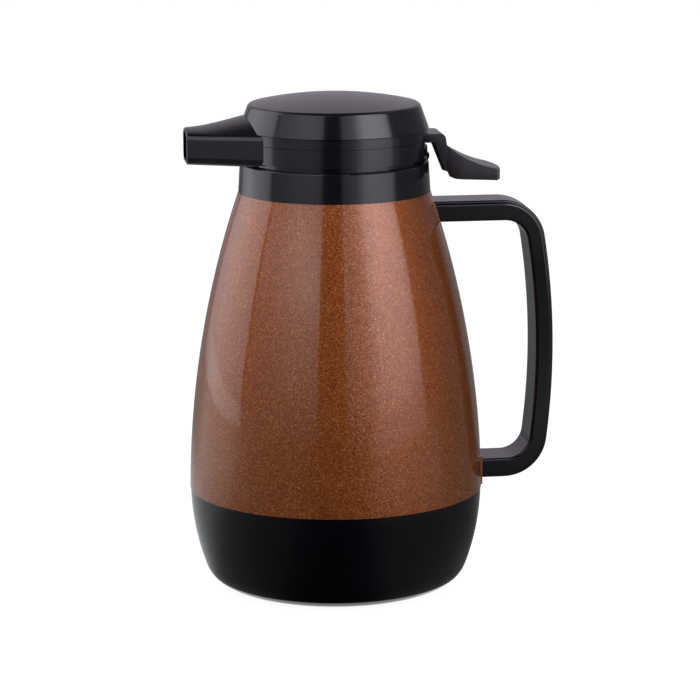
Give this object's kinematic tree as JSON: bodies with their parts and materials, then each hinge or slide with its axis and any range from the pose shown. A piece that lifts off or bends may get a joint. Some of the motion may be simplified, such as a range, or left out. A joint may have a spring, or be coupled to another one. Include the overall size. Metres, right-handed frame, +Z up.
{
  "type": "thermal carafe",
  "caption": "Vacuum carafe with a loop handle, a flared pouring spout and a thumb lever that lifts a spring valve in its plug-in lid.",
  "frame": {"origin": "on the body's axis, at the flat foot", "axes": "+Z up along the body's axis, +X towards the handle and thumb lever, -X towards the spout"},
  "size_m": [0.1678, 0.1346, 0.2267],
  "materials": {
    "copper_paint": "metallic copper-brown paint under clear gloss, on a moulded shell",
    "gloss_black": "high-gloss black moulding",
    "satin_black": "black moulding with a fine satin sheen",
    "inner_black": "plain black moulding, seen only from below or with the lid off",
    "inner_white": "natural food-safe moulding inside the lid",
    "silvered_glass": "silvered double-walled glass",
    "spacer_felt": "pressed mineral-fibre pad",
    "seal_silicone": "translucent grey silicone",
    "cushion_rubber": "black rubber",
    "steel": "stainless steel, plain turned and drawn"
  },
  "bodies": {
    "root": {"base_cover": "gloss_black", "bottom_cap": "inner_black", "liner_inner": "silvered_glass", "liner_outer": "silvered_glass", "spacer_pads": "spacer_felt", "liner_cushion": "cushion_rubber", "neck_seal": "seal_silicone", "outer_shell": "copper_paint", "collar": "gloss_black", "handle": "gloss_black", "handle_cover": "gloss_black", "handle_screws": "steel"},
    "lid": {"lid_cap": "satin_black", "lid_body": "satin_black", "lever_pin": "steel", "lid_screws": "steel", "plug_seal": "seal_silicone", "spout": "satin_black", "duct_seal": "seal_silicone", "chamber_cover": "inner_white", "stem_seal": "seal_silicone"},
    "lever": {"lever": "satin_black"},
    "valve": {"valve_stem": "inner_white", "valve_seal": "seal_silicone", "seal_retainer": "inner_white", "stem_head": "inner_white", "valve_spring": "steel"}
  },
  "joints": [
    {"name": "lid_lift", "type": "slide", "parent": "root", "child": "lid", "axis": [0, 0, 1], "range_m": [0, 0.06]},
    {"name": "lever_press", "type": "hinge", "parent": "lid", "child": "lever", "pos_m": [0.0345, 0, 0.2063], "axis": [0, 1, 0], "range_deg": [0, 10], "stiffness_Nm_per_rad": 0.5, "springref_deg": -11.46},
    {"name": "valve_lift", "type": "slide", "parent": "lid", "child": "valve", "axis": [0, 0, 1], "range_m": [0, 0.0062], "deforming": ["valve_spring"]}
  ],
  "couplings": [
    {"joint": "valve_lift", "follows": "lever_press", "m_per_rad": 0.0345}
  ]
}
